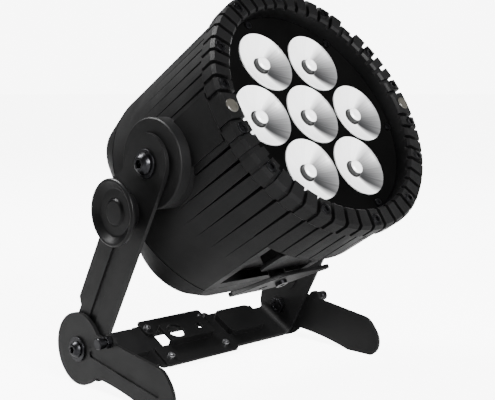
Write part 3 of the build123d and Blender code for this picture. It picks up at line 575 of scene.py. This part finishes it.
# %% [markdown]
# The optics look silvery: a clear moulding over a mirrored dish. Such a dish
# throws back whatever is in front of it. Here that is painted into the colour:
# the dish is painted near white, a painted reflection of a white studio, and
# one darker part that turns towards the room is a painted reflection of the
# room. The fine flutes run from the post to the rim, so the noise follows the
# optic's own UV map, stretched along the radius, and the darker part is a
# smooth step of the same map's angle. The gap round the post is painted dark:
# painted shade where light is lost down the stem.

# %% The optic's finish
flutes = (90, 0.6, 1)           # noise cycles in a turn, and in a unit of V
# Where on the turn the darker painted reflection starts, is full, weakens and ends, and how dark it is painted.
painted_sector_shift = 0.25             # places on the turn are shares of a full turn
painted_sector_in, painted_sector_full, painted_sector_weaker, painted_sector_gone = 0.03, 0.09, 0.34, 0.40
painted_sector_depth = 3.6              # the higher, the darker


def optic_finish():
    """Near-white painted reflection with fine radial flutes, a darker painted reflection on one side and painted
    shade round the post.
    """
    material, tree, shader = new_material("silvery_optic")
    uv = tree.nodes.new("ShaderNodeUVMap")
    uv.uv_map = optic_map
    parts = tree.nodes.new("ShaderNodeSeparateXYZ")
    tree.links.new(uv.outputs["UV"], parts.inputs["Vector"])
    angle, radius = parts.outputs["X"], parts.outputs["Y"]
    mapping = tree.nodes.new("ShaderNodeMapping")
    mapping.inputs["Scale"].default_value = flutes
    streaks = tree.nodes.new("ShaderNodeTexNoise")
    streaks.inputs["Scale"].default_value = 1.0
    streaks.inputs["Detail"].default_value = 5
    tree.links.new(uv.outputs["UV"], mapping.inputs["Vector"])
    tree.links.new(mapping.outputs["Vector"], streaks.inputs["Vector"])
    streak = streaks.outputs["Fac"]

    def outwards(low, high, start, end):
        return spread(tree, radius, low, high, v_per_metre * start, v_per_metre * end)

    def product(first, *others):
        for other in others:
            first = chain(tree, "MULTIPLY", first, other)
        return first

    # Painted reflection: one side of the dish is painted darker, fading towards the rim.
    turn = chain(tree, "FRACT", chain(tree, "ADD", angle, painted_sector_shift))
    rise = spread(tree, turn, 0, 1, painted_sector_in, painted_sector_full)
    fade = spread(tree, turn, 0.85, 0.45, painted_sector_full, painted_sector_weaker)
    fall = spread(tree, turn, 1, 0, painted_sector_weaker, painted_sector_gone)
    weaker_outside = outwards(1.0, 0.62, post_radius + 1.6 * mm, optic_radius)
    on_dish = outwards(0, 1, post_radius + 0.6 * mm, post_radius + 1.6 * mm)
    painted_sector = product(rise, fade, fall, weaker_outside, on_dish, spread(tree, streak, 0.86, 1.1))
    kept = chain(tree, "POWER", chain(tree, "SUBTRACT", 1.0, painted_sector), painted_sector_depth)
    # Painted reflection: the near-white colour stands in for the white studio that the dish mirrors.
    bright = mix(tree, spread(tree, streak, 0.0, 1.0), (0.86, 0.86, 0.87), (0.96, 0.96, 0.97))
    shade = mix(tree, kept, (0.015, 0.015, 0.016), bright)
    # Painted shade: a thin ring round the post is painted nearly black, for the shade in the gap there.
    painted_groove_shade = product(outwards(0, 1, post_radius - 0.2 * mm, post_radius),
                     outwards(1, 0, post_radius + 0.9 * mm, post_radius + 1.4 * mm))
    tree.links.new(mix(tree, painted_groove_shade, shade, (0.004, 0.004, 0.004)), shader.inputs["Base Color"])
    tree.links.new(spread(tree, streak, 0.30, 0.42), shader.inputs["Roughness"])
    tree.links.new(bump(tree, streak, 0.06 * mm), shader.inputs["Normal"])
    shader.inputs["Metallic"].default_value = 0.15
    shader.inputs["Coat Weight"].default_value = 0.1
    shader.inputs["Specular IOR Level"].default_value = 0.3
    shader.inputs["Coat Roughness"].default_value = 0.08
    return material


finishes["lens"] = optic_finish()
set_pieces("optics", lens_points, turned_master("optic", optic_outline, 96), out, 0.0, 1, lens_names)

# %% [markdown]
# Screws repeat too. Each screw's place is the middle of its own solid in the
# CAD node, found by walking over the shared corners. The walk starts from the
# corners in their own order, so that the screws come in the same order on every
# run. A head is turned with a rounded shoulder, and its hexagonal socket is made
# by sinking an inner ring that follows a hexagon. A small random spin, with a
# fixed seed, stops the sockets from all lining up, as real ones never do.

# %% Finding each solid in a node
def solids_of(node):
    """The corners of each separate solid in a node."""
    work = merged(node)
    found = set()
    groups = []
    for corner in work.verts:
        if corner in found:
            continue
        found.add(corner)
        stack = [corner]
        group = []
        while stack:
            vertex = stack.pop()
            group.append(vertex.co.copy())
            for edge in vertex.link_edges:
                other = edge.other_vert(vertex)
                if other not in found:
                    found.add(other)
                    stack.append(other)
        groups.append(group)
    work.free()
    return groups


def screw_tops(node, facing):
    """Where each screw's head ends, and the length and head radius of one screw."""
    side = facing.cross(Vector((0.3, 0.5, 0.81))).normalized()
    other = facing.cross(side).normalized()
    tops = []
    for group in solids_of(node):
        sides = [p.dot(side) for p in group]
        others = [p.dot(other) for p in group]
        heights = [p.dot(facing) for p in group]
        tops.append(side * middle(sides) + other * middle(others) + facing * max(heights))
        length = max(heights) - min(heights)
        radius = (max(sides) - min(sides)) / 2
    return tops, length, radius


def screw_master(name, head_radius, head_height, shank_radius, length, socket_radius):
    """Screw that points up Z, with its head's top at zero and a hexagonal socket."""
    steps = 36
    socket_depth = 0.66 * head_height
    shoulder = min(0.25 * head_height, 0.3 * mm)
    profile = [(socket_radius * 1.12, 0.0), (head_radius - shoulder * 1.4, 0.0),
               (head_radius - shoulder * 0.4, -shoulder * 0.35), (head_radius, -shoulder),
               (head_radius, -head_height), (shank_radius, -head_height), (shank_radius, -length)]
    work = bmesh.new()

    def ring(make, radius, height):
        turns = [2 * pi * k / steps for k in range(steps)]
        return [work.verts.new((*make(radius, a), height)) for a in turns]

    def round_corner(radius, a):
        return radius * cos(a), radius * sin(a)

    def hexagon_corner(radius, a):
        from_flat = (a % (pi / 3)) - pi / 6
        return round_corner(radius * cos(pi / 6) / cos(from_flat), a)

    rings = [[work.verts.new((0, 0, -socket_depth))],
             ring(hexagon_corner, socket_radius * 0.96, -socket_depth),
             ring(hexagon_corner, socket_radius, -socket_depth + 0.1 * mm),
             ring(hexagon_corner, socket_radius, -0.08 * mm)]
    rings += [ring(round_corner, radius, height) for radius, height in profile]
    rings.append([work.verts.new((0, 0, -length))])
    for first, second in zip(rings, rings[1:]):
        bridged(work, first, second, steps)
    return finished_master(name, work, 35)


# %% Setting the screws
screw_sets = (
    # node, facing, head height, shank and socket as shares of the head, spin seed
    ("bezel_screws", out, 1.9 * mm, 2.0 / 3.4, 0.50, 3),
    ("lens_plate_screws", out, 1.3 * mm, 1.5 / 2.6, 0.46, 5),
    ("rear_cover_screws", -out, 1.9 * mm, 0.5, 0.47, 7),
    ("clamp_plate_screws", arm_up, 1.6 * mm, 1.5 / 2.5, 0.46, 11),
)
spin_range = 0.5                # radians either way
for node, facing, head_height, shank_share, socket_share, seed in screw_sets:
    tops, length, head_radius = screw_tops(node, facing)
    master = screw_master(node + "_master", head_radius, head_height, head_radius * shank_share,
                          length, head_radius * socket_share)
    set_pieces(node + "_finished", tops, master, facing, spin_range, seed, [node])

# %% [markdown]
# What stays as CAD is inside the housing, hidden behind a washer, or small and
# plain, as the two windows in the front ring are. It keeps its own mesh and
# takes the finish of its material slot.

# %% Finishes for the rest
for name, node_object in nodes.items():
    if not node_object.hide_render:
        paint(node_object.data, finishes[slot_of_node[name]])
print("kept as CAD", sorted(n for n, o in nodes.items() if not o.hide_render))

# %% [markdown]
# The light stands on a pale floor in a white studio. Big soft boxes are what
# make black metal readable: the coat itself is nearly black, so its shape is
# told by the reflections on its edges and turns. A surround that is bright
# enough to look white would wash those reflections out. So the floor and the
# backdrop glow fully only for rays that come straight from the camera, as the
# Light Path node tells, and cast only a little light on the pieces.

# %% Floor and backdrop
floor_half = 60.0
floor_glow_cast, floor_glow_seen = 0.15, 7.4
backdrop_cast, backdrop_seen = 0.06, 8.0


def cast_or_seen(tree, cast, seen):
    """One strength as light on the pieces, and another straight to the camera."""
    path = tree.nodes.new("ShaderNodeLightPath")
    return spread(tree, path.outputs["Is Camera Ray"], cast, seen, 0.0, 1.0)


corners = [(x * floor_half, y * floor_half, 0) for x, y in ((-1, -1), (1, -1), (1, 1), (-1, 1))]
floor_mesh = bpy.data.meshes.new("floor")
floor_mesh.from_pydata(corners, [], [(0, 1, 2, 3)])
floor = add_piece("floor", floor_mesh)
floor.location.z = cad_box[0][2]
floor_finish, tree, shader = new_material("pale_floor")
grey = mix(tree, spread(tree, noise(tree, 6, 3), 0, 1), (0.50, 0.50, 0.50), (0.54, 0.54, 0.54))
tree.links.new(grey, shader.inputs["Base Color"])
shader.inputs["Roughness"].default_value = 0.75
shader.inputs["Emission Color"].default_value = (1, 1, 1, 1)
tree.links.new(cast_or_seen(tree, floor_glow_cast, floor_glow_seen), shader.inputs["Emission Strength"])
floor_mesh.materials.append(floor_finish)

world = bpy.data.worlds.new("studio")
bpy.context.scene.world = world
world.use_nodes = True
backdrop = world.node_tree.nodes["Background"]
backdrop.inputs["Color"].default_value = (1, 1, 1, 1)
strength = cast_or_seen(world.node_tree, backdrop_cast, backdrop_seen)
world.node_tree.links.new(strength, backdrop.inputs["Strength"])


# %% [markdown]
# Four soft boxes stand round the light. The front one is the strongest, and
# shows the teeth and the ribs. The rear one hangs high and draws the upper edge
# of the housing. Two weak ones at the sides keep the arms and knobs from going
# flat black.

# %% Soft boxes
def soft_box(name, place, size, power):
    """Square area light aimed at the tilt pivot; size in metres, power in watts."""
    light = bpy.data.lights.new(name, "AREA")
    light.shape = "SQUARE"
    light.size = size
    light.energy = power
    box = bpy.data.objects.new(name, light)
    bpy.context.scene.collection.objects.link(box)
    box.location = place
    box.rotation_euler = (pivot - Vector(place)).to_track_quat("-Z", "Y").to_euler()


soft_box("left_box", (-1.5, 0.3, 0.25), 0.7, 1.6)
soft_box("rear_box", (-0.45, 1.0, 1.45), 0.7, 85)
soft_box("front_box", (-0.35, -1.6, 0.95), 0.6, 130)
soft_box("right_box", (1.5, 0.1, 0.45), 0.8, 6)

# %% [markdown]
# The camera stands near the level of the tilt pivot and looks a little down.
# Its place is given from the pivot, in metres.

# %% Camera
camera_from_pivot = Vector((-0.4473, -0.4456, 0.0416))
camera_looks = Vector((0.696, 0.710, -0.110)).normalized()
camera_data = bpy.data.cameras.new("camera")
camera_data.lens = 71.2
camera_data.sensor_width = 36.0
camera = bpy.data.objects.new("camera", camera_data)
bpy.context.scene.collection.objects.link(camera)
camera.location = pivot + camera_from_pivot
camera.rotation_euler = camera_looks.to_track_quat("-Z", "Y").to_euler()
bpy.context.scene.camera = camera

# %% [markdown]
# The last cell brings the scene up to date.

# %% Scene update
bpy.context.view_layer.update()
